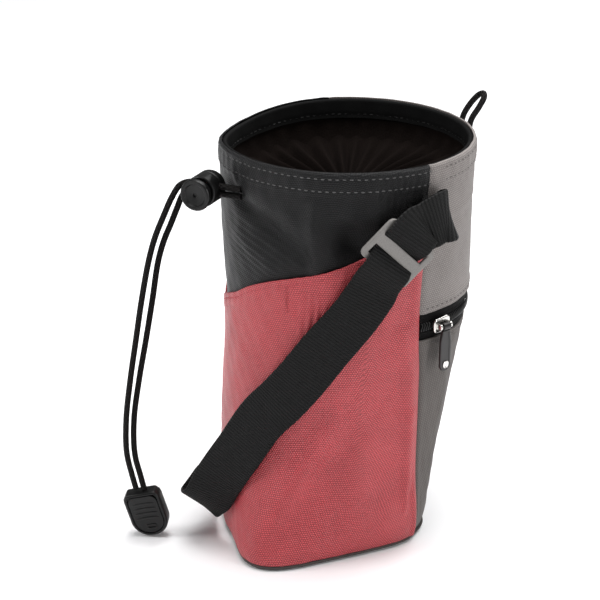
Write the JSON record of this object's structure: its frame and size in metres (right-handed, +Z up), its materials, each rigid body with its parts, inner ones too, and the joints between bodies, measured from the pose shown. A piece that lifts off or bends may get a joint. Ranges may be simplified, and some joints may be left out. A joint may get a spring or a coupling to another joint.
{
  "type": "climbing chalk bag",
  "caption": "Round-mouthed cloth bag on a squarer base, with a gathered inner funnel, zip pocket, webbing loop and drawcord with lock.",
  "frame": {"origin": "in the underside of the base, on the vertical axis through the centre of the mouth", "axes": "+Z up through the mouth, -Y towards the front where the drawcord leaves, +X towards the side with the strap's slider"},
  "size_m": [0.1376, 0.1914, 0.223],
  "materials": {
    "black_cloth": "coarse woven nylon",
    "red_cloth": "coarse woven nylon",
    "grey_cloth": "fine woven nylon",
    "fleece": "brushed fleece",
    "webbing": "ribbed webbing",
    "cord": "braided sheath",
    "slider_metal": "grey coated metal",
    "zip_metal": "nickel",
    "black_plastic": "moulded"
  },
  "bodies": {
    "bag": {"front_panel": "black_cloth", "front_pocket": "red_cloth", "back_panel": "grey_cloth", "back_pocket_panel": "grey_cloth", "zipper_tape": "webbing", "base_panel": "grey_cloth", "mouth_facing": "black_cloth", "lining_funnel": "fleece", "strap": "webbing", "strap_slider": "slider_metal", "draw_cord_a": "cord", "draw_cord_b": "cord", "hang_loop": "cord", "cord_lock_barrel": "black_plastic", "cord_end_body": "black_plastic", "cord_end_lid": "black_plastic", "zipper_slider": "zip_metal"},
    "pull": {"zipper_pull": "slider_metal"},
    "lock_button": {"cord_lock_button": "black_plastic"}
  },
  "joints": [
    {"name": "pull_swing", "type": "hinge", "parent": "bag", "child": "pull", "pos_m": [0.0591, 0.02706, 0.127], "axis": [0.3294, -0.9442, 0], "range_deg": [0, 150]},
    {"name": "button_press", "type": "slide", "parent": "bag", "child": "lock_button", "axis": [-0.682, 0.7314, 0], "range_m": [0, 0.003], "stiffness_N_per_m": 300}
  ]
}
